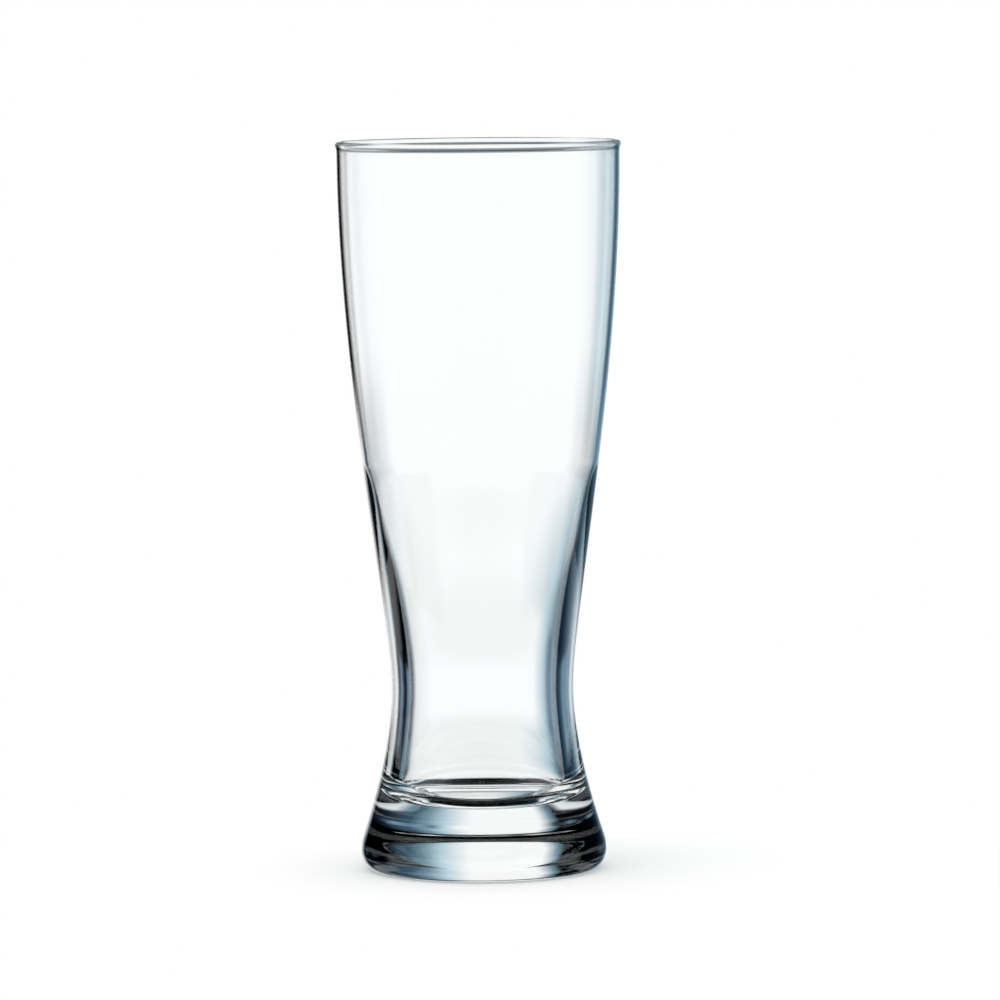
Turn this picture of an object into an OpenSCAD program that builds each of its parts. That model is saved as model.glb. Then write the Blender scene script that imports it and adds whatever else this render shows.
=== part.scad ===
// Pilsner glass: a tall, flared beer glass of clear soda-lime glass with a drawn-in waist and a heavy solid foot.
// The outside is one flowing curve. The inside runs parallel to it down to a shoulder, below which the wall
// thickens into the waist, and ends in a rounded floor well above the table.
// The origin is the centre of the circle that the foot stands on, and +Z is up. All sizes are in millimetres.

/* [Overall] */
// Height from the table to the top of the rim
glass_h = 184; // [165:1:205]

/* [Rim] */
// Outer diameter of the blown wall just under the bead
mouth_d = 71.2; // [66:0.2:78]
// Thickness of the blown wall, from the mouth down to the shoulder
wall = 1.25; // [1:0.05:1.7]
// Thickness of the fire-polished bead
bead_d = 2; // [1.8:0.05:2.6]
// Radius of the hollow curve between the bead and the wall
bead_cove_r = 1.5; // [0.8:0.1:2.4]

/* [Waist] */
// Outer diameter at the waist, where the glass is narrowest
waist_d = 45.9; // [43:0.1:50]
// Height of the waist above the table
waist_h = 46; // [42:1:54]
// Thickness of the wall at the waist
waist_wall = 4.3; // [2.6:0.1:5.4]
// Height of the shoulder inside, where the wall starts to thicken
shoulder_h = 103; // [90:1:114]

/* [Floor of the bore] */
// Height of the lowest point of the floor inside, which is the thickness of the solid foot
floor_h = 15.6; // [13:0.2:19]
// Rise of the floor from its centre to the start of its corner
floor_rise = 0.4; // [0.2:0.1:1]
// Radius of the corner between the floor and the wall
floor_corner_r = 6.5; // [4:0.1:8]
// Thickness of the wall where that corner ends
floor_wall = 5.3; // [4:0.1:6.2]

/* [Foot] */
// Largest diameter of the foot
foot_d = 62.1; // [58:0.1:66]
// Height of the foot's widest circle above the table
heel_h = 4.9; // [4:0.1:6]
// Distance that the standing circle lies inside the widest circle
heel_run = 3.4; // [2.6:0.1:4.4]
// Radius of the curve that leads from the flare into the heel
heel_top_r = 11.3; // [8:0.1:13]
// Width of the flat ring that the glass stands on
ring_w = 4; // [2:0.1:5]
// Depth of the round hollow under the foot
hollow_h = 3; // [1:0.1:4]

/* [Hidden] */

// Lengths of the handles that shape each long curve, as shares of the height that the curve spans
bowl_handle_shares = [0.43, 0.135];
flare_handle_shares = [0.12, 0.6];
bore_handle_shares = [0.12, 0.37];
belly_handle_shares = [0.28, 0.24];
// Angle off vertical at which the flare meets the heel, and at which the bore meets the corner of its floor
flare_lean = 18.4;
belly_lean = 8;
// Number of straight steps in a long curve and in a corner, and number of sides of a full turn
long_steps = 36;
short_steps = 12;
round_steps = 128;

mouth_r = mouth_d / 2;
waist_r = waist_d / 2;
foot_r = foot_d / 2;
bead_r = bead_d / 2;
stand_r = foot_r - heel_run;
ring_r = stand_r - ring_w;

// Points along a cubic curve from a to d that sets off towards b and arrives from c
function curve(a, b, c, d, steps) = [
    for (i = [0:steps])
        let (t = i / steps, s = 1 - t)
            s * s * s * a + 3 * s * s * t * b + 3 * s * t * t * c + t * t * t * d
];

// Points along an arc of a circle or an ellipse
function arc(centre, radii, from, to, steps) = [
    for (i = [0:steps])
        let (angle = from + (to - from) * i / steps)
            centre + [radii[0] * cos(angle), radii[1] * sin(angle)]
];

// Points from the edge of a shallow round dish to its centre, along the circle that is level at the centre
function dish(edge_r, edge_h, centre_h, steps) =
    let (
        sag = edge_h - centre_h,
        radius = (edge_r * edge_r + sag * sag) / (2 * abs(sag)),
        reach = asin(edge_r / radius)
    )
    [
        for (i = [0:steps])
            let (angle = reach * (1 - i / steps))
                [radius * sin(angle), centre_h + sign(sag) * radius * (1 - cos(angle))]
    ];

// All points but the first, to join two runs of points that share one
function tail(points) = [for (i = [1:len(points) - 1]) points[i]];
function reversed(points) = [for (i = [len(points) - 1:-1:0]) points[i]];

// The part of a falling run of points that lies above a level or below it, cut at the level itself
function cut_point(a, b, level) = a + (b - a) * (a[1] - level) / (a[1] - b[1]);
function above(points, level) = [
    for (i = [0:len(points) - 1])
        if (points[i][1] > level) points[i]
        else if (i > 0 && points[i - 1][1] > level) cut_point(points[i - 1], points[i], level)
];
function below(points, level) = [
    for (i = [1:len(points) - 1])
        if (points[i][1] < level)
            each points[i - 1][1] > level ? [cut_point(points[i - 1], points[i], level), points[i]] : [points[i]]
        else if (points[i][1] == level) points[i]
];

// The bead is a round ring centred on the wall, and a cove on each side leads down to the wall
bead_centre = [mouth_r - wall / 2, glass_h - bead_r];
cove_out = wall / 2 + bead_cove_r;
cove_drop = sqrt(pow(bead_r + bead_cove_r, 2) - pow(cove_out, 2));
cove_lean = atan2(cove_drop, cove_out);
rim_h = bead_centre[1] - cove_drop;
rim_outline = concat(
    arc(bead_centre + [cove_out, -cove_drop], [bead_cove_r, bead_cove_r], 180, 180 - cove_lean, short_steps),
    tail(arc(bead_centre, [bead_r, bead_r], -cove_lean, 180 + cove_lean, long_steps)),
    tail(arc(bead_centre - [cove_out, cove_drop], [bead_cove_r, bead_cove_r], cove_lean, 0, short_steps))
);

// Outside of the bowl from the rim to the waist, and of the flare from the waist to the heel
bowl_span = rim_h - waist_h;
bowl_curve = curve(
    [mouth_r, rim_h],
    [mouth_r, rim_h - bowl_handle_shares[0] * bowl_span],
    [waist_r, waist_h + bowl_handle_shares[1] * bowl_span],
    [waist_r, waist_h],
    long_steps
);
heel_join = [foot_r - heel_top_r * (1 - cos(flare_lean)), heel_h + heel_top_r * sin(flare_lean)];
flare_span = waist_h - heel_join[1];
flare_curve = curve(
    [waist_r, waist_h],
    [waist_r, waist_h - flare_handle_shares[0] * flare_span],
    heel_join + flare_handle_shares[1] * flare_span * [-sin(flare_lean), cos(flare_lean)],
    heel_join,
    long_steps
);
outside = concat(bowl_curve, tail(flare_curve));

// Heel: round from the flare to the widest circle, then a quarter of an ellipse in to the standing circle
heel_curve = concat(
    arc([foot_r - heel_top_r, heel_h], [heel_top_r, heel_top_r], flare_lean, 0, short_steps),
    tail(arc([stand_r, heel_h], [heel_run, heel_h], 0, -90, short_steps))
);

// Inside of the blown wall, at an even thickness down to the shoulder, and the direction it has there
blown_curve = [for (point = above(bowl_curve, shoulder_h)) point - [wall, 0]];
shoulder = blown_curve[len(blown_curve) - 1];
shoulder_step = shoulder - blown_curve[len(blown_curve) - 2];
shoulder_way = shoulder_step / norm(shoulder_step);

// Inside below the shoulder: in to the waist, out again over the foot, then round the corner of the floor
bore_r = waist_r - waist_wall;
bore_span = shoulder_h - waist_h;
bore_curve = curve(
    shoulder,
    shoulder + bore_handle_shares[0] * bore_span * shoulder_way,
    [bore_r, waist_h + bore_handle_shares[1] * bore_span],
    [bore_r, waist_h],
    long_steps
);
floor_edge_h = floor_h + floor_rise;
corner_h = floor_edge_h + floor_corner_r * (1 + sin(belly_lean));
corner = [below(outside, corner_h)[0][0] - floor_wall, corner_h];
belly_span = waist_h - corner_h;
belly_curve = curve(
    [bore_r, waist_h],
    [bore_r, waist_h - belly_handle_shares[0] * belly_span],
    corner + belly_handle_shares[1] * belly_span * [-sin(belly_lean), cos(belly_lean)],
    corner,
    short_steps
);
corner_centre = corner - floor_corner_r * [cos(belly_lean), sin(belly_lean)];
corner_curve = arc(corner_centre, [floor_corner_r, floor_corner_r], belly_lean, -90, short_steps);
floor_curve = dish(corner_centre[0], floor_edge_h, floor_h, short_steps);

// Hollow under the foot, inside the flat ring that the glass stands on
hollow_curve = dish(ring_r, 0, hollow_h, short_steps);

// Turns an outline about the axis of the glass
module turned(outline) {
    rotate_extrude($fn = round_steps)
        polygon(outline);
}

// Rounded lip, where the cracked-off edge was melted back in the flame
module rim() {
    color("azure")
        turned(rim_outline);
}

// Tapering wall of the bowl and the waist, open at both ends, down to the level of the floor's corner
module bowl() {
    color("aliceblue")
        turned(concat(
            above(outside, corner_h),
            reversed(concat(blown_curve, tail(bore_curve), tail(belly_curve)))
        ));
}

// Solid foot: the floor of the bore on top, the rounded heel outside and the round hollow below
module foot() {
    color("lightcyan")
        turned(concat(
            below(outside, corner_h),
            tail(heel_curve),
            hollow_curve,
            reversed(concat(corner_curve, tail(floor_curve)))
        ));
}

rim();
bowl();
foot();
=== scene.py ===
"""Clear pilsner glass with a heavy solid foot, in a plain pale studio.

The glass is one continuous body of soda-lime glass. Its three pieces meet where the glass runs on from one
to the next, so their outlines are joined into one smooth run before each piece is turned.

A clear glass shows what stands round it. The studio therefore has a screen of paper about the bowl, and
rings of cards farther off, which show below and above that screen.
"""
import logging
import math
from dataclasses import dataclass, field
from enum import Enum

import bpy
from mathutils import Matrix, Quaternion, Vector


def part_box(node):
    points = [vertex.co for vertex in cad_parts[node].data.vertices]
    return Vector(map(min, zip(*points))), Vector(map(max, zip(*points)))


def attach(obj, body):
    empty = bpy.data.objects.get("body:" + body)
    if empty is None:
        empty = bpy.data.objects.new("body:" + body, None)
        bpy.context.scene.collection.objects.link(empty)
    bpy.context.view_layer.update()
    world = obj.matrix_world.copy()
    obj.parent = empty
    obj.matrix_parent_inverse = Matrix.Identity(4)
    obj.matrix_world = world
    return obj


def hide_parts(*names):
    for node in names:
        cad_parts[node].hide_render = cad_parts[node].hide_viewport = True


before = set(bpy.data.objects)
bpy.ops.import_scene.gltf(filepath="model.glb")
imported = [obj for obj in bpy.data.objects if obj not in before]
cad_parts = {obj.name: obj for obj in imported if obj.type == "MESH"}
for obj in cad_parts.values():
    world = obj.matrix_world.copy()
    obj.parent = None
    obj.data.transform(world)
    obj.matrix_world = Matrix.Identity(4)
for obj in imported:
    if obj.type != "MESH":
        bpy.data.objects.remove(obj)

LOG = logging.getLogger("pilsner_glass")
MM = 0.001
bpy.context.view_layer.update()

WHITE = (1.0, 1.0, 1.0, 1.0)
# Points of an outline that agree to this many decimals of a metre share their vertices
WELD_DECIMALS = 9
# Sockets of a colour mix, by number because its float and vector twins have the same names
MIX_SHARE, MIX_UNDER, MIX_OVER, MIX_RESULT = 0, 6, 7, 2


def linear(colour: str) -> tuple[float, float, float, float]:
    """Turns an sRGB hex colour to the linear values that shaders work in.

    Args:
        colour: The colour as "#rrggbb".

    Returns:
        Linear red, green and blue, and an alpha of 1.
    """
    channels = [int(colour[start:start + 2], 16) / 255 for start in (1, 3, 5)]
    red, green, blue = (c / 12.92 if c <= 0.04045 else ((c + 0.055) / 1.055) ** 2.4 for c in channels)
    return red, green, blue, 1.0


def add(
    tree: bpy.types.NodeTree,
    kind: str,
    settings: dict[str | int, object] | None = None,
) -> bpy.types.Node:
    """Adds a node to a tree, sets it and links its inputs.

    Args:
        tree: The node tree that gets the node.
        kind: The node's type, such as "ShaderNodeMath".
        settings: What each input, by name or number, or each property of the node is set to. An output of
            another node is linked to the input.

    Returns:
        The new node.
    """
    node = tree.nodes.new(kind)
    for name, value in (settings or {}).items():
        if isinstance(value, bpy.types.NodeSocket):
            tree.links.new(value, node.inputs[name])
        elif isinstance(name, int) or name in node.inputs:
            node.inputs[name].default_value = value
        else:
            setattr(node, name, value)
    return node


def cleared(owner: bpy.types.Material | bpy.types.World) -> bpy.types.NodeTree:
    """Gives a new material or world an empty node tree.

    Args:
        owner: The material or the world.

    Returns:
        Its node tree.
    """
    owner.use_nodes = True
    owner.node_tree.nodes.clear()
    return owner.node_tree


def put(name: str, data: bpy.types.ID) -> bpy.types.Object:
    """Puts a mesh, a lamp or a camera into the scene.

    Args:
        name: Name of the object.
        data: The mesh, lamp or camera.

    Returns:
        The object.
    """
    thing = bpy.data.objects.new(name, data)
    bpy.context.scene.collection.objects.link(thing)
    return thing


class Skin(Enum):
    """What a band of a piece's surface is. The value is its material slot."""

    POLISHED = 0
    RUN_ON = 1
    RUBBED = 2


@dataclass(frozen=True)
class SodaLimeGlass:
    """Clear soda-lime glass, blown and pressed in a mould and polished by the flame.

    The flame leaves it bright and without a scratch, so the eye sees its edges and what it bends. Iron
    leaves a cool tint that hardly shows, and the mould a slow ripple that makes long reflections waver.
    """

    name: str = "soda_lime_glass_fire_polished"
    tint: str = "#feffff"
    ior: float = 1.52
    roughness: float = 0.0
    ripple_length: float = 14 * MM
    ripple_height: float = 0.004 * MM
    # The ripple is longer up the glass than round it
    ripple_squeeze: tuple[float, float, float] = (1, 1, 0.45)
    ripple_detail: float = 1.0
    ripple_roughness: float = 0.4
    shadow_tint: str = "#eef4f4"

    def material(self) -> bpy.types.Material:
        """Builds the material of the bright glass.

        Returns:
            The material, ready to be put on a piece.
        """
        material = bpy.data.materials.new(self.name)
        tree = cleared(material)
        place = add(tree, "ShaderNodeTexCoord").outputs["Object"]
        squeezed = add(tree, "ShaderNodeMapping", {"Scale": self.ripple_squeeze, "Vector": place})
        ripple = add(tree, "ShaderNodeTexNoise", {
            "Scale": 1 / self.ripple_length,
            "Detail": self.ripple_detail,
            "Roughness": self.ripple_roughness,
            "Vector": squeezed.outputs["Vector"],
        })
        bump = add(tree, "ShaderNodeBump", {
            "Strength": 1.0,
            "Distance": self.ripple_height,
            "Height": ripple.outputs["Fac"],
        })
        glass = add(tree, "ShaderNodeBsdfPrincipled", {
            "Base Color": linear(self.tint),
            "Transmission Weight": 1.0,
            "IOR": self.ior,
            "Roughness": self.roughness,
            "Normal": bump.outputs["Normal"],
        })
        # Light on its way to the floor goes straight through, so that the glass throws a pale shadow
        path = add(tree, "ShaderNodeLightPath")
        clear = add(tree, "ShaderNodeBsdfTransparent", {"Color": linear(self.shadow_tint)})
        whole = add(tree, "ShaderNodeMixShader", {
            0: path.outputs["Is Shadow Ray"],
            1: glass.outputs["BSDF"],
            2: clear.outputs["BSDF"],
        })
        add(tree, "ShaderNodeOutputMaterial", {"Surface": whole.outputs["Shader"]})
        return material


@dataclass(frozen=True)
class RubbedGlass(SodaLimeGlass):
    """The same glass where the foot stands: pressed flat, then rubbed by tables.

    Fine rubbing dulls it, so that the ring under the foot looks faintly frosted.
    """

    name: str = "soda_lime_glass_rubbed_ring"
    roughness: float = 0.22
    ripple_length: float = 0.6 * MM
    ripple_height: float = 0.002 * MM


@dataclass(frozen=True)
class RunOnGlass:
    """No surface at all: the place where the glass of one piece runs on into the next.

    Nothing is polished or pressed there, and the eye sees nothing.
    """

    name: str = "run_on_inside_the_glass"

    def material(self) -> bpy.types.Material:
        """Builds a material that lets everything through unbent.

        Returns:
            The material, ready to be put on a piece.
        """
        material = bpy.data.materials.new(self.name)
        tree = cleared(material)
        clear = add(tree, "ShaderNodeBsdfTransparent", {"Color": WHITE})
        add(tree, "ShaderNodeOutputMaterial", {"Surface": clear.outputs["BSDF"]})
        return material


def curve(start: Vector, leave: Vector, arrive: Vector, end: Vector, steps: int) -> list[Vector]:
    """Gives points along a cubic curve.

    Args:
        start: First point, as radius and height.
        leave: Handle that the curve sets off towards.
        arrive: Handle that the curve arrives from.
        end: Last point.
        steps: Number of straight steps.

    Returns:
        The points, both ends among them.
    """
    points = []
    for step in range(steps + 1):
        t = step / steps
        s = 1 - t
        points.append(s * s * s * start + 3 * s * s * t * leave + 3 * s * t * t * arrive + t * t * t * end)
    return points


def arc(centre: Vector, radii: tuple[float, float], first: float, last: float, steps: int) -> list[Vector]:
    """Gives points along an arc of a circle or an ellipse.

    Args:
        centre: Centre, as radius and height.
        radii: Half widths across and up.
        first: Angle of the first point, in degrees from straight out.
        last: Angle of the last point.
        steps: Number of straight steps.

    Returns:
        The points, both ends among them.
    """
    points = []
    for step in range(steps + 1):
        angle = math.radians(first + (last - first) * step / steps)
        points.append(centre + Vector((radii[0] * math.cos(angle), radii[1] * math.sin(angle))))
    return points


def dish(edge_r: float, edge_h: float, centre_h: float, steps: int) -> list[Vector]:
    """Gives points from the edge of a shallow round dish to its centre.

    Args:
        edge_r: Radius of the edge.
        edge_h: Height of the edge.
        centre_h: Height of the centre.
        steps: Number of straight steps.

    Returns:
        The points, from the edge to the centre, along the circle that is level at the centre.
    """
    sag = edge_h - centre_h
    radius = (edge_r ** 2 + sag ** 2) / (2 * abs(sag))
    reach = math.degrees(math.asin(edge_r / radius))
    side = math.copysign(1, sag)
    centre = Vector((0, centre_h + side * radius))
    return arc(centre, (radius, radius), -side * (90 - reach), -side * 90, steps)


def cut(points: list[Vector], level: float) -> tuple[list[Vector], list[Vector]]:
    """Cuts a run of points that falls all the way at a level.

    Args:
        points: The run, from its highest point to its lowest.
        level: The height of the cut.

    Returns:
        The part above and the part below, which share the point at the level.
    """
    for index in range(1, len(points)):
        high, low = points[index - 1], points[index]
        if low.y <= level:
            share = (high.y - level) / (high.y - low.y)
            edge = high.lerp(low, share)
            return points[:index] + [edge], [edge] + points[index:]
    return points, []


@dataclass(frozen=True)
class Rim:
    """Rounded lip: the cracked-off edge of the wall, melted back in the flame to a bead."""

    glass_h: float
    mouth_d: float = 71.2 * MM
    wall: float = 1.25 * MM
    bead_d: float = 2.0 * MM
    cove_r: float = 1.5 * MM

    @property
    def mouth_r(self) -> float:
        """Outer radius of the wall just under the bead."""
        return self.mouth_d / 2

    @property
    def cove_reach(self) -> tuple[float, float]:
        """Distances across and down from the bead's centre to a cove's centre."""
        across = self.wall / 2 + self.cove_r
        return across, math.sqrt((self.bead_d / 2 + self.cove_r) ** 2 - across ** 2)

    @property
    def low(self) -> float:
        """Height at which the bead's coves run out into the wall."""
        return self.glass_h - self.bead_d / 2 - self.cove_reach[1]

    def lip(self, steps: int) -> list[Vector]:
        """Gives the outline over the lip, from the outside of the wall to its inside.

        Args:
            steps: Number of steps round the bead.

        Returns:
            The points.
        """
        centre = Vector((self.mouth_r - self.wall / 2, self.glass_h - self.bead_d / 2))
        # A cove is short and needs few steps
        few = steps // 4
        across, down = self.cove_reach
        lean = math.degrees(math.atan2(down, across))
        bead = (self.bead_d / 2, self.bead_d / 2)
        cove = (self.cove_r, self.cove_r)
        return (
            arc(centre + Vector((across, -down)), cove, 180, 180 - lean, few)
            + arc(centre, bead, -lean, 180 + lean, steps)[1:]
            + arc(centre - Vector((across, down)), cove, lean, 0, few)[1:]
        )


@dataclass(frozen=True)
class Bowl:
    """Tapering wall: blown even and thin down to a shoulder, and left thick below it, round the waist."""

    rim: Rim
    waist_d: float = 45.9 * MM
    waist_h: float = 46 * MM
    waist_wall: float = 4.3 * MM
    shoulder_h: float = 103 * MM
    # How far the handles of each curve reach, as shares of the height that the curve spans
    outside_shares: tuple[float, float] = (0.43, 0.135)
    bore_shares: tuple[float, float] = (0.12, 0.37)

    def outside(self, steps: int) -> list[Vector]:
        """Gives the outline of the wall's outside, from the rim down to the waist.

        Args:
            steps: Number of steps.

        Returns:
            The points.
        """
        span = self.rim.low - self.waist_h
        top = Vector((self.rim.mouth_r, self.rim.low))
        waist = Vector((self.waist_d / 2, self.waist_h))
        leave, arrive = self.outside_shares
        return curve(top, top - Vector((0, leave * span)), waist + Vector((0, arrive * span)), waist, steps)

    def inside(self, steps: int) -> list[Vector]:
        """Gives the outline of the wall's inside, from the rim down to the waist.

        Args:
            steps: Number of steps in each of its two stretches.

        Returns:
            The points.
        """
        outer = cut(self.outside(steps), self.shoulder_h)[0]
        blown = [point - Vector((self.rim.wall, 0)) for point in outer]
        # The last step may be next to nothing, so the way is taken over the last two
        shoulder = blown[-1]
        way = (shoulder - blown[-3]).normalized()
        span = self.shoulder_h - self.waist_h
        waist = Vector((self.waist_d / 2 - self.waist_wall, self.waist_h))
        leave, arrive = self.bore_shares
        over_waist = waist + Vector((0, arrive * span))
        bore = curve(shoulder, shoulder + leave * span * way, over_waist, waist, steps)
        return blown + bore[1:]


@dataclass(frozen=True)
class Foot:
    """Solid pressed foot: flare, heel, flat standing ring and hollow, with the floor of the bore on top.

    Each lean is an angle off vertical, in degrees, at which one curve meets the next.
    """

    bowl: Bowl
    foot_d: float = 62.1 * MM
    heel_h: float = 4.9 * MM
    heel_run: float = 3.4 * MM
    heel_top_r: float = 11.3 * MM
    ring_w: float = 4.0 * MM
    hollow_h: float = 3.0 * MM
    flare_lean: float = 18.4
    flare_shares: tuple[float, float] = (0.12, 0.6)
    floor_h: float = 15.6 * MM
    floor_rise: float = 0.4 * MM
    corner_r: float = 6.5 * MM
    floor_wall: float = 5.3 * MM
    belly_lean: float = 8
    belly_shares: tuple[float, float] = (0.28, 0.24)

    @property
    def stand_r(self) -> float:
        """Radius of the circle that the heel stands on."""
        return self.foot_d / 2 - self.heel_run

    @property
    def high(self) -> float:
        """Height at which the foot runs on into the bowl, where the corner of the floor ends."""
        return self.floor_h + self.floor_rise + self.corner_r * (1 + math.sin(math.radians(self.belly_lean)))

    def flare(self, steps: int) -> list[Vector]:
        """Gives the outline of the outside, from the waist down to the heel.

        Args:
            steps: Number of steps.

        Returns:
            The points.
        """
        lean = math.radians(self.flare_lean)
        way = Vector((math.sin(lean), -math.cos(lean)))
        heel = Vector((
            self.foot_d / 2 - self.heel_top_r * (1 - math.cos(lean)),
            self.heel_h + self.heel_top_r * math.sin(lean),
        ))
        waist = Vector((self.bowl.waist_d / 2, self.bowl.waist_h))
        span = waist.y - heel.y
        leave, arrive = self.flare_shares
        return curve(waist, waist - Vector((0, leave * span)), heel - arrive * span * way, heel, steps)

    def heel(self, steps: int) -> list[Vector]:
        """Gives the outline round the heel, from the flare to the standing circle.

        Args:
            steps: Number of steps in its lower part.

        Returns:
            The points.
        """
        widest = Vector((self.foot_d / 2 - self.heel_top_r, self.heel_h))
        upper = arc(widest, (self.heel_top_r, self.heel_top_r), self.flare_lean, 0, steps // 2)
        lower = arc(Vector((self.stand_r, self.heel_h)), (self.heel_run, self.heel_h), 0, -90, steps)
        return upper + lower[1:]

    def hollow(self, steps: int) -> list[Vector]:
        """Gives the outline under the foot, from the inside of the standing ring to the axis.

        Args:
            steps: Number of steps.

        Returns:
            The points.
        """
        return dish(self.stand_r - self.ring_w, 0, self.hollow_h, steps)

    def floor(self, steps: int) -> list[Vector]:
        """Gives the outline of the bore below the waist, down to the floor and in to the axis.

        Args:
            steps: Number of steps in each of its three stretches.

        Returns:
            The points.
        """
        lean = math.radians(self.belly_lean)
        # The outside is cut as finely stepped as it is built, so that the wall there is true
        outer = cut(self.flare(4 * steps), self.high)[1][0]
        corner = Vector((outer.x - self.floor_wall, self.high))
        waist = Vector((self.bowl.waist_d / 2 - self.bowl.waist_wall, self.bowl.waist_h))
        span = waist.y - corner.y
        leave, arrive = self.belly_shares
        way = Vector((math.sin(lean), -math.cos(lean)))
        belly = curve(waist, waist - Vector((0, leave * span)), corner - arrive * span * way, corner, steps)
        centre = corner - self.corner_r * Vector((math.cos(lean), math.sin(lean)))
        bend = arc(centre, (self.corner_r, self.corner_r), self.belly_lean, -90, steps)
        flat = dish(centre.x, centre.y - self.corner_r, self.floor_h, steps)
        return belly + bend[1:] + flat[1:]


@dataclass(frozen=True)
class Spot:
    """A point of the outline, as radius and height, and the way that the surface faces there."""

    place: Vector
    facing: Vector


@dataclass(frozen=True)
class Band:
    """A stretch of a piece's outline with one skin."""

    spots: list[Spot]
    skin: Skin


def faced(points: list[Vector]) -> list[Spot]:
    """Works out which way a smooth run of points faces, with the glass on its left.

    Args:
        points: The run, as radius and height.

    Returns:
        The points with their facings.
    """
    spots = []
    last = len(points) - 1
    for index, point in enumerate(points):
        before = points[max(index - 1, 0)]
        after = points[min(index + 1, last)]
        # Each neighbour counts by the way to it, so that a short step next to a long one still decides
        back = (point - before).normalized() if index > 0 else Vector((0, 0))
        ahead = (after - point).normalized() if index < last else Vector((0, 0))
        way = (back + ahead).normalized()
        spots.append(Spot(point, Vector((way.y, -way.x))))
    for end in (0, last):
        # On the axis the surface is level
        level = Vector((0, math.copysign(1, spots[end].facing.y)))
        spots[end] = Spot(spots[end].place, level)
    return spots


@dataclass
class Turning:
    """A mesh in the making, turned band by band about the axis of the glass."""

    sides: int
    ways: list[tuple[float, float]] = field(init=False)
    vertices: list[tuple[float, float, float]] = field(default_factory=list)
    faces: list[list[int]] = field(default_factory=list)
    skins: list[int] = field(default_factory=list)
    normals: list[tuple[float, float, float]] = field(default_factory=list)
    rings: dict[tuple[float, float], list[int]] = field(default_factory=dict)

    def __post_init__(self) -> None:
        """Works out the way that each side lies from the axis."""
        angles = [2 * math.pi * side / self.sides for side in range(self.sides)]
        self.ways = [(math.cos(angle), math.sin(angle)) for angle in angles]

    def ring(self, place: Vector) -> list[int]:
        """Gives the vertices at a place of the outline, which are one and the same on the axis.

        Args:
            place: The place, as radius and height.

        Returns:
            The number of the vertex at each side.
        """
        key = (round(place.x, WELD_DECIMALS), round(place.y, WELD_DECIMALS))
        if key not in self.rings:
            start = len(self.vertices)
            if key[0] == 0:
                self.vertices.append((0.0, 0.0, place.y))
                self.rings[key] = [start] * self.sides
            else:
                self.vertices.extend((place.x * c, place.x * s, place.y) for c, s in self.ways)
                self.rings[key] = list(range(start, start + self.sides))
        return self.rings[key]

    def sweep(self, band: Band) -> None:
        """Turns one band of the outline.

        Args:
            band: The band, which shares its end points with those before and after it.
        """
        for low, high in zip(band.spots, band.spots[1:]):
            low_ring, high_ring = self.ring(low.place), self.ring(high.place)
            for side in range(self.sides):
                after = (side + 1) % self.sides
                corners = (
                    (low_ring, low, side),
                    (low_ring, low, after),
                    (high_ring, high, after),
                    (high_ring, high, side),
                )
                face: list[int] = []
                for ring, spot, turn in corners:
                    # On the axis two corners are one vertex, and the face is a triangle
                    if ring[turn] in face:
                        continue
                    face.append(ring[turn])
                    c, s = self.ways[turn]
                    self.normals.append((spot.facing.x * c, spot.facing.x * s, spot.facing.y))
                self.faces.append(face)
                self.skins.append(band.skin.value)

    def mesh(self, name: str, finishes: dict[Skin, bpy.types.Material]) -> bpy.types.Mesh:
        """Makes the mesh of what has been turned.

        Args:
            name: Name of the mesh.
            finishes: The material of each skin.

        Returns:
            The mesh, which shades as the spots of its bands face.
        """
        mesh = bpy.data.meshes.new(name)
        mesh.from_pydata(self.vertices, [], self.faces)
        for skin in Skin:
            mesh.materials.append(finishes[skin])
        mesh.polygons.foreach_set("material_index", self.skins)
        mesh.polygons.foreach_set("use_smooth", [True] * len(self.faces))
        mesh.update()
        mesh.normals_split_custom_set(self.normals)
        return mesh


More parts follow.
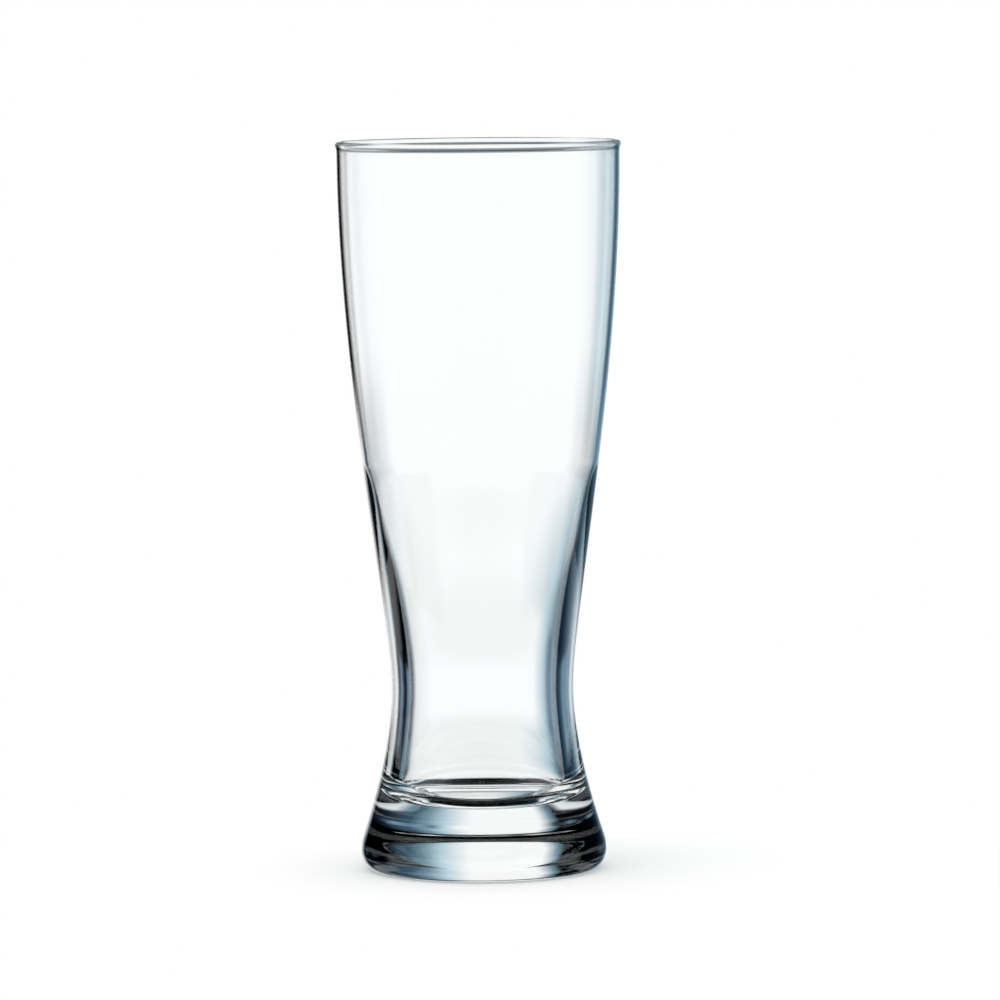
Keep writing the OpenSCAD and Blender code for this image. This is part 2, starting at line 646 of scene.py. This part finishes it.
@dataclass
class PilsnerGlass:
    """The whole glass: joins the outlines of its pieces, turns each piece and dresses it."""

    foot: Foot
    sides: int = 192
    long_steps: int = 64
    short_steps: int = 16
    finishes: dict[Skin, bpy.types.Material] = field(init=False)
    stretches: dict[str, list[Spot]] = field(init=False)

    def __post_init__(self) -> None:
        """Makes the finishes and walks once round the outline."""
        self.finishes = {
            Skin.POLISHED: SodaLimeGlass().material(),
            Skin.RUN_ON: RunOnGlass().material(),
            Skin.RUBBED: RubbedGlass().material(),
        }
        self.stretches = self.outline()

    def outline(self) -> dict[str, list[Spot]]:
        """Walks round the outline from the middle of the hollow to the middle of the floor.

        Returns:
            The named stretches, which share their end points and face alike there.
        """
        foot, bowl = self.foot, self.foot.bowl
        upper_flare, lower_flare = cut(foot.flare(self.long_steps), foot.high)
        inside = bowl.inside(self.long_steps) + foot.floor(self.short_steps)[1:]
        inner_wall, floor = cut(inside, foot.high)
        runs = {
            "hollow": foot.hollow(self.short_steps)[::-1],
            "ring": [Vector((foot.stand_r - foot.ring_w, 0)), Vector((foot.stand_r, 0))],
            "heel": foot.heel(self.short_steps)[::-1] + lower_flare[::-1][1:],
            "outside": upper_flare[::-1] + bowl.outside(self.long_steps)[::-1][1:],
            "lip": bowl.rim.lip(self.short_steps * 2),
            "inside": inner_wall,
            "floor": floor,
        }
        points: list[Vector] = []
        marks: dict[str, tuple[int, int]] = {}
        for name, run in runs.items():
            first = max(len(points) - 1, 0)
            points += run if not points else run[1:]
            marks[name] = (first, len(points))
        spots = faced(points)
        return {name: spots[first:last] for name, (first, last) in marks.items()}

    def run_on(self, first: Spot, last: Spot) -> Band:
        """Gives the level band that closes a piece where the glass runs on into the next.

        Args:
            first: Spot that the band starts from.
            last: Spot that the band ends at.

        Returns:
            The band, facing up where it runs inwards and down where it runs outwards.
        """
        facing = Vector((0, math.copysign(1, first.place.x - last.place.x)))
        return Band([Spot(first.place, facing), Spot(last.place, facing)], Skin.RUN_ON)

    def rim_bands(self) -> list[Band]:
        """Gives the bands of the rim, round its outline."""
        lip = self.stretches["lip"]
        return [Band(lip, Skin.POLISHED), self.run_on(lip[-1], lip[0])]

    def bowl_bands(self) -> list[Band]:
        """Gives the bands of the bowl, up its outside and down its inside.

        Returns:
            The bands, which close the outline.
        """
        outside, inside = self.stretches["outside"], self.stretches["inside"]
        return [
            Band(outside, Skin.POLISHED),
            self.run_on(outside[-1], inside[0]),
            Band(inside, Skin.POLISHED),
            self.run_on(inside[-1], outside[0]),
        ]

    def foot_bands(self) -> list[Band]:
        """Gives the bands of the foot, from the hollow below to the floor above.

        Returns:
            The bands, which start and end on the axis.
        """
        heel, floor = self.stretches["heel"], self.stretches["floor"]
        return [
            Band(self.stretches["hollow"], Skin.POLISHED),
            Band(self.stretches["ring"], Skin.RUBBED),
            Band(heel, Skin.POLISHED),
            self.run_on(heel[-1], floor[0]),
            Band(floor, Skin.POLISHED),
        ]

    def turn(self, name: str, bands: list[Band]) -> bpy.types.Object:
        """Turns a piece about the axis of the glass.

        Args:
            name: Name of the piece.
            bands: Its outline, in bands that share their end points.

        Returns:
            The piece, a closed mesh that faces as its spots say.
        """
        turning = Turning(self.sides)
        for band in bands:
            turning.sweep(band)
        return put(name, turning.mesh(name, self.finishes))

    def build(self) -> list[bpy.types.Object]:
        """Turns the pieces, rides each on the body and lets it stand for its node.

        Returns:
            The pieces.
        """
        pieces = []
        outlines = {"rim": self.rim_bands(), "bowl": self.bowl_bands(), "foot": self.foot_bands()}
        for node, bands in outlines.items():
            piece = self.turn(f"{node}_glass", bands)
            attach(piece, "root")
            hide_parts(node)
            LOG.info("%s: %d faces", piece.name, len(piece.data.polygons))
            pieces.append(piece)
        return pieces


@dataclass(frozen=True)
class SoftEdge:
    """A soft edge in the studio, between two heights, distances or angles."""

    start: float
    end: float

    def share(self, tree: bpy.types.NodeTree, value: bpy.types.NodeSocket) -> bpy.types.NodeSocket:
        """Works out how much shows of what lies beyond the edge.

        Args:
            tree: The node tree.
            value: The height, distance or angle.

        Returns:
            0 up to the edge, 1 beyond it, and a smooth rise between.
        """
        rise = add(tree, "ShaderNodeMapRange", {
            "interpolation_type": "SMOOTHSTEP",
            "From Min": self.start,
            "From Max": self.end,
            "Value": value,
        })
        return rise.outputs["Result"]

    def lay(
        self,
        tree: bpy.types.NodeTree,
        value: bpy.types.NodeSocket,
        under: bpy.types.NodeSocket | tuple[float, float, float, float],
        over: bpy.types.NodeSocket | tuple[float, float, float, float],
    ) -> bpy.types.NodeSocket:
        """Lays one colour over another from the edge on.

        Args:
            tree: The node tree.
            value: The height, distance or angle.
            under: The colour up to the edge.
            over: The colour beyond it.

        Returns:
            The colour.
        """
        laid = add(tree, "ShaderNodeMix", {
            "data_type": "RGBA",
            MIX_SHARE: self.share(tree, value),
            MIX_UNDER: under,
            MIX_OVER: over,
        })
        return laid.outputs[MIX_RESULT]


def bearing(tree: bpy.types.NodeTree, place: bpy.types.NodeSocket) -> bpy.types.NodeSocket:
    """Works out the azimuth of a place or a direction.

    Args:
        tree: The node tree.
        place: The place or direction.

    Returns:
        The azimuth in radians, from straight behind the glass and growing to the right.
    """
    parts = add(tree, "ShaderNodeSeparateXYZ", {"Vector": place})
    turn = add(tree, "ShaderNodeMath", {
        "operation": "ARCTAN2",
        0: parts.outputs["X"],
        1: parts.outputs["Y"],
    })
    return turn.outputs[0]


class Paper(Enum):
    """The matt papers that the cards are cut from, each with the colour that it shows when lit."""

    WHITE = "#ffffff"
    PALE = "#f0f6f8"
    MIST = "#bcd6e0"
    GREY = "#8c9498"
    BLUE_GREY = "#7898a8"
    STEEL = "#587898"
    SLATE = "#385468"
    NIGHT = "#142030"
    BLACK = "#020304"


@dataclass(frozen=True)
class Card:
    """The middle of a card, in degrees to the right of straight behind the glass, and its paper.

    From there to the next card of the ring one paper fades evenly into the other.
    """

    azimuth: float
    paper: Paper


@dataclass(frozen=True)
class Ring:
    """Cards that stand once round the glass, from -180 degrees up."""

    cards: tuple[Card, ...]

    def colour(self, tree: bpy.types.NodeTree, azimuth: bpy.types.NodeSocket) -> bpy.types.NodeSocket:
        """Works out the colour of the ring at an azimuth.

        Args:
            tree: The node tree.
            azimuth: The azimuth in radians.

        Returns:
            The colour.
        """
        share = add(tree, "ShaderNodeMapRange", {
            "From Min": -math.pi,
            "From Max": math.pi,
            "Value": azimuth,
        })
        colours = add(tree, "ShaderNodeValToRGB", {"Fac": share.outputs["Result"]})
        elements = colours.color_ramp.elements
        elements.remove(elements[1])
        elements[0].position = 0
        elements[0].color = linear(self.cards[0].paper.value)
        for card in self.cards[1:]:
            elements.new((card.azimuth + 180) / 360).color = linear(card.paper.value)
        return colours.outputs["Color"]


@dataclass(frozen=True)
class Row:
    """A ring of cards far off, and the elevations between which it takes over from the row below."""

    edge: SoftEdge
    ring: Ring


# The table close by, in the shade but for a strip behind the glass
NEAR_TABLE = Ring((
    Card(-180, Paper.BLACK),
    Card(-50, Paper.BLACK),
    Card(-28, Paper.WHITE),
    Card(5, Paper.WHITE),
    Card(14, Paper.BLUE_GREY),
    Card(30, Paper.NIGHT),
    Card(180, Paper.BLACK),
))

# The table farther off, pale but for shadows to both sides and white paper behind
FAR_TABLE = Ring((
    Card(-180, Paper.PALE),
    Card(-128, Paper.PALE),
    Card(-120, Paper.NIGHT),
    Card(-84, Paper.NIGHT),
    Card(-76, Paper.PALE),
    Card(-36, Paper.PALE),
    Card(-30, Paper.NIGHT),
    Card(-25, Paper.BLUE_GREY),
    Card(-20, Paper.WHITE),
    Card(4, Paper.WHITE),
    Card(13, Paper.MIST),
    Card(19, Paper.BLUE_GREY),
    Card(26, Paper.SLATE),
    Card(34, Paper.BLUE_GREY),
    Card(44, Paper.PALE),
    Card(76, Paper.PALE),
    Card(84, Paper.NIGHT),
    Card(120, Paper.NIGHT),
    Card(128, Paper.PALE),
))

# White paper behind, a black card to its left, blue-grey paper that falls off to its right, a pale room
BACK_PAPER = Ring((
    Card(-180, Paper.PALE),
    Card(-84, Paper.PALE),
    Card(-74, Paper.BLACK),
    Card(-29, Paper.BLACK),
    Card(-25, Paper.BLUE_GREY),
    Card(-20, Paper.WHITE),
    Card(4, Paper.WHITE),
    Card(13, Paper.MIST),
    Card(20, Paper.BLUE_GREY),
    Card(28, Paper.SLATE),
    Card(46, Paper.NIGHT),
    Card(74, Paper.BLACK),
    Card(84, Paper.PALE),
))

# Narrow cards level with the waist, whose thick wall shows them as dark and blue lines
WAIST_LINES = Ring((
    Card(-180, Paper.PALE),
    Card(-84, Paper.PALE),
    Card(-74, Paper.BLACK),
    Card(-64, Paper.NIGHT),
    Card(-54, Paper.BLUE_GREY),
    Card(-48, Paper.NIGHT),
    Card(-41, Paper.NIGHT),
    Card(-35, Paper.STEEL),
    Card(-31, Paper.NIGHT),
    Card(-26, Paper.NIGHT),
    Card(-19.5, Paper.WHITE),
    Card(8, Paper.WHITE),
    Card(13, Paper.MIST),
    Card(17.5, Paper.STEEL),
    Card(22, Paper.BLUE_GREY),
    Card(29, Paper.STEEL),
    Card(37, Paper.BLUE_GREY),
    Card(45, Paper.SLATE),
    Card(53, Paper.NIGHT),
    Card(74, Paper.BLACK),
    Card(84, Paper.PALE),
))

# Above the level of the eye the white paper is narrower, and the room dark
HIGH_PAPER = Ring((
    Card(-180, Paper.BLACK),
    Card(-28, Paper.BLACK),
    Card(-24, Paper.BLUE_GREY),
    Card(-18.5, Paper.WHITE),
    Card(4, Paper.WHITE),
    Card(12, Paper.MIST),
    Card(17.5, Paper.BLUE_GREY),
    Card(25, Paper.SLATE),
    Card(42, Paper.NIGHT),
    Card(74, Paper.BLACK),
))

# About the bowl white, with a dark strip on the left and blue-grey ones on the right, which frame its wall
BOWL_RING = Ring((
    Card(-180, Paper.WHITE),
    Card(-46, Paper.WHITE),
    Card(-36, Paper.BLACK),
    Card(-24, Paper.BLACK),
    Card(-21, Paper.WHITE),
    Card(13, Paper.WHITE),
    Card(20, Paper.MIST),
    Card(28, Paper.BLUE_GREY),
    Card(34, Paper.SLATE),
    Card(38, Paper.SLATE),
    Card(48, Paper.MIST),
    Card(68, Paper.PALE),
    Card(80, Paper.WHITE),
))


@dataclass(frozen=True)
class Screen:
    """A round screen of paper about the bowl, which only the glass shows.

    Downwards it thins out, until the cards farther off show through it. Upwards it turns grey, which
    draws the line of the rim.
    """

    ring: Ring = BOWL_RING
    low: float = 86 * MM
    high: float = 280 * MM
    distance: float = 150 * MM
    steps: int = 96
    sheer: SoftEdge = SoftEdge(84 * MM, 118 * MM)
    lip: SoftEdge = SoftEdge(190 * MM, 198 * MM)
    lip_paper: Paper = Paper.GREY

    def material(self) -> bpy.types.Material:
        """Builds the material of the paper, which glows by itself as evenly lit paper does.

        Returns:
            The material.
        """
        material = bpy.data.materials.new("screen")
        tree = cleared(material)
        place = add(tree, "ShaderNodeTexCoord").outputs["Object"]
        height = add(tree, "ShaderNodeSeparateXYZ", {"Vector": place}).outputs["Z"]
        colour = self.ring.colour(tree, bearing(tree, place))
        colour = self.lip.lay(tree, height, colour, linear(self.lip_paper.value))
        clear = add(tree, "ShaderNodeBsdfTransparent", {"Color": WHITE})
        paper = add(tree, "ShaderNodeEmission", {"Strength": 1.0, "Color": colour})
        sheet = add(tree, "ShaderNodeMixShader", {
            0: self.sheer.share(tree, height),
            1: clear.outputs["BSDF"],
            2: paper.outputs["Emission"],
        })
        add(tree, "ShaderNodeOutputMaterial", {"Surface": sheet.outputs["Shader"]})
        return material

    def build(self) -> bpy.types.Object:
        """Bends the screen and lets only mirrored and bent rays see it.

        Returns:
            The screen.
        """
        vertices = []
        for step in range(self.steps + 1):
            turn = 2 * math.pi * step / self.steps
            x, y = self.distance * math.sin(turn), self.distance * math.cos(turn)
            vertices += [(x, y, self.low), (x, y, self.high)]
        faces = [(2 * i, 2 * i + 1, 2 * i + 3, 2 * i + 2) for i in range(self.steps)]
        mesh = bpy.data.meshes.new("screen")
        mesh.from_pydata(vertices, [], faces)
        mesh.materials.append(self.material())
        screen = put("screen", mesh)
        screen.visible_camera = False
        screen.visible_diffuse = False
        screen.visible_shadow = False
        return screen


@dataclass(frozen=True)
class Surroundings:
    """What stands far off: rings of cards that only the glass shows, and white for the camera."""

    rows: tuple[Row, ...] = (
        Row(SoftEdge(-54, -46), NEAR_TABLE),
        Row(SoftEdge(-39, -34), FAR_TABLE),
        Row(SoftEdge(-25, -21), BACK_PAPER),
        Row(SoftEdge(-9.5, -7.5), WAIST_LINES),
        Row(SoftEdge(-4, -1.5), BACK_PAPER),
        Row(SoftEdge(0.5, 3.5), HIGH_PAPER),
    )
    # It is dark over the glass, from these elevations on
    top: SoftEdge = SoftEdge(13, 19)
    # What the glass mirrors is also dark beyond these azimuths to both sides, above these elevations
    front: SoftEdge = SoftEdge(70, 82)
    above: SoftEdge = SoftEdge(4, 9)
    dark: Paper = Paper.BLACK
    # Plain light on the floor
    plain: str = "#ffffff"

    def build(self) -> None:
        """Builds the world, and sorts what it shows by the kind of ray."""
        world = bpy.data.worlds.new("studio")
        bpy.context.scene.world = world
        tree = cleared(world)
        way = add(tree, "ShaderNodeTexCoord").outputs["Generated"]
        azimuth = bearing(tree, way)
        parts = add(tree, "ShaderNodeSeparateXYZ", {"Vector": way})
        rise = add(tree, "ShaderNodeMath", {"operation": "ARCSINE", 0: parts.outputs["Z"]})
        elevation = add(tree, "ShaderNodeMath", {"operation": "DEGREES", 0: rise.outputs[0]}).outputs[0]
        turn = add(tree, "ShaderNodeMath", {"operation": "ABSOLUTE", 0: azimuth})
        aside = add(tree, "ShaderNodeMath", {"operation": "DEGREES", 0: turn.outputs[0]}).outputs[0]

        dark = linear(self.dark.value)
        bent = dark
        for row in self.rows:
            bent = row.edge.lay(tree, elevation, bent, row.ring.colour(tree, azimuth))
        bent = self.top.lay(tree, elevation, bent, dark)
        hidden = add(tree, "ShaderNodeMath", {
            "operation": "MULTIPLY",
            0: self.front.share(tree, aside),
            1: self.above.share(tree, elevation),
        })
        mirrored = add(tree, "ShaderNodeMix", {
            "data_type": "RGBA",
            MIX_SHARE: hidden.outputs[0],
            MIX_UNDER: bent,
            MIX_OVER: dark,
        })

        path = add(tree, "ShaderNodeLightPath")
        shown = {
            "Is Glossy Ray": mirrored.outputs[MIX_RESULT],
            "Is Transmission Ray": bent,
            "Is Camera Ray": WHITE,
        }
        colour = linear(self.plain)
        for ray, seen in shown.items():
            layer = add(tree, "ShaderNodeMix", {
                "data_type": "RGBA",
                MIX_SHARE: path.outputs[ray],
                MIX_UNDER: colour,
                MIX_OVER: seen,
            })
            colour = layer.outputs[MIX_RESULT]
        glow = add(tree, "ShaderNodeBackground", {"Strength": 1.0, "Color": colour})
        add(tree, "ShaderNodeOutputWorld", {"Surface": glow.outputs["Background"]})


@dataclass(frozen=True)
class SoftBox:
    """One large soft lamp over the table, which gives the shadow its side."""

    place: tuple[float, float, float] = (-0.5, -0.3, 1.3)
    across: float = 0.9
    power: float = 3.0

    def build(self) -> bpy.types.Object:
        """Hangs the lamp, turned to the foot of the glass, where the glass itself doesn't show it.

        Returns:
            The lamp.
        """
        data = bpy.data.lights.new("soft_box", "AREA")
        data.shape = "DISK"
        data.size = self.across
        data.energy = self.power
        lamp = put("soft_box", data)
        lamp.location = self.place
        lamp.rotation_euler = Vector(self.place).to_track_quat("Z", "Y").to_euler()
        lamp.visible_glossy = False
        lamp.visible_transmission = False
        return lamp


@dataclass(frozen=True)
class Floor:
    """Pale studio paper that the glass stands on, matt as uncoated paper is.

    It keeps the shadow, and fades into the white of the background over a distance from the glass.
    """

    colour: str = "#fcfcfc"
    size: float = 6.0
    gap: float = 0.05 * MM
    fading: SoftEdge = SoftEdge(30 * MM, 140 * MM)

    def material(self) -> bpy.types.Material:
        """Builds the material of the paper.

        Returns:
            The material.
        """
        material = bpy.data.materials.new("studio_paper")
        tree = cleared(material)
        place = add(tree, "ShaderNodeTexCoord").outputs["Object"]
        distance = add(tree, "ShaderNodeVectorMath", {"operation": "LENGTH", 0: place}).outputs["Value"]
        paper = add(tree, "ShaderNodeBsdfDiffuse", {"Color": linear(self.colour)})
        white = add(tree, "ShaderNodeEmission", {"Color": WHITE, "Strength": 1.0})
        path = add(tree, "ShaderNodeLightPath")
        share = add(tree, "ShaderNodeMath", {
            "operation": "MULTIPLY",
            0: self.fading.share(tree, distance),
            1: path.outputs["Is Camera Ray"],
        })
        sheet = add(tree, "ShaderNodeMixShader", {
            0: share.outputs[0],
            1: paper.outputs["BSDF"],
            2: white.outputs["Emission"],
        })
        add(tree, "ShaderNodeOutputMaterial", {"Surface": sheet.outputs["Shader"]})
        return material

    def build(self) -> bpy.types.Object:
        """Lays the paper just under the glass.

        Returns:
            The floor.
        """
        half = self.size / 2
        corners = [(-half, -half), (half, -half), (half, half), (-half, half)]
        mesh = bpy.data.meshes.new("floor")
        mesh.from_pydata([(x, y, -self.gap) for x, y in corners], [], [(0, 1, 2, 3)])
        mesh.materials.append(self.material())
        floor = put("floor", mesh)
        floor.visible_transmission = False
        floor.visible_glossy = False
        return floor


@dataclass(frozen=True)
class Studio:
    """Pale floor, plain soft light, and what stands round the table for the glass to show."""

    surroundings: Surroundings = Surroundings()
    furniture: tuple[SoftBox | Floor | Screen, ...] = (SoftBox(), Floor(), Screen())

    def build(self) -> None:
        """Builds the studio and reports what stands in it."""
        self.surroundings.build()
        LOG.info("surroundings: %d rows of cards", len(self.surroundings.rows))
        for item in self.furniture:
            LOG.info("studio: %s", item.build().name)


@dataclass(frozen=True)
class Viewpoint:
    """The camera where the photographer's stood: a long lens, a little above the rim."""

    distance: float = 1.6
    height: float = 0.22112
    aside: float = 4.8 * MM
    lens: float = 228.97
    sensor: float = 36
    # How far the camera looks down, and how far it leans to the side, in degrees
    pitch: float = 4.566
    roll: float = -0.49
    clip: tuple[float, float] = (0.01, 50)

    def build(self) -> None:
        """Sets up the camera."""
        data = bpy.data.cameras.new("camera")
        data.lens = self.lens
        data.sensor_width = self.sensor
        data.clip_start, data.clip_end = self.clip
        camera = put("camera", data)
        camera.location = (self.aside, -self.distance, self.height)
        look = Vector((0, 1, -math.tan(math.radians(self.pitch)))).to_track_quat("-Z", "Y")
        camera.rotation_mode = "QUATERNION"
        camera.rotation_quaternion = look @ Quaternion((0, 0, 1), math.radians(self.roll))
        bpy.context.scene.camera = camera


def main() -> None:
    """Builds the view, the studio and the glass, which is as tall as the top of the rim in model.glb."""
    logging.basicConfig(level=logging.INFO, format="%(name)s: %(message)s")
    bpy.context.scene.view_settings.view_transform = "Standard"
    Viewpoint().build()
    Studio().build()
    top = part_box("rim")[1].z
    glass = PilsnerGlass(Foot(Bowl(Rim(glass_h=top))))
    glass.build()


if __name__ == "__main__":
    main()
